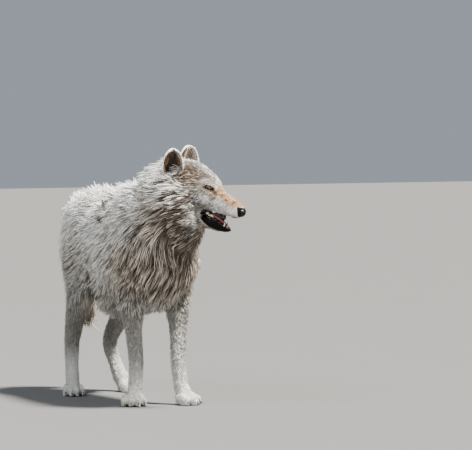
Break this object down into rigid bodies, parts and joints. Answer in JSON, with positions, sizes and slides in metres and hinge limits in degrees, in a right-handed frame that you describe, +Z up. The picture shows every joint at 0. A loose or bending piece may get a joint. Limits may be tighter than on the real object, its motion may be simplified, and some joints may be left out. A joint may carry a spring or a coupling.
{
  "type": "arctic wolf",
  "caption": "Still life-size arctic wolf standing on four legs, head turned to its left, mouth a little open, in a long pale coat.",
  "frame": {"origin": "middle of the bounding box's bottom face, on the floor between the four paws", "axes": "+Z up, -Y the way the body faces, +X the wolf's left side"},
  "size_m": [0.3704, 1.0956, 0.9104],
  "materials": {
    "coat": "long pale cream fur",
    "ear_coat": "short tan and white fur",
    "eye": "wet amber eye",
    "nose_skin": "moist black skin",
    "tongue_skin": "moist pink skin"
  },
  "bodies": {
    "root": {"trunk": "coat", "neck": "coat", "head": "coat", "lower_jaw": "coat", "tongue": "tongue_skin", "nose": "nose_skin", "eye_left": "eye", "eye_right": "eye", "ear_left": "ear_coat", "ear_right": "ear_coat", "foreleg_left": "coat", "foreleg_right": "coat", "forepaw_left": "coat", "forepaw_right": "coat", "thigh_left": "coat", "thigh_right": "coat", "hindleg_left": "coat", "hindleg_right": "coat", "hindpaw_left": "coat", "hindpaw_right": "coat", "tail": "coat"}
  },
  "joints": []
}
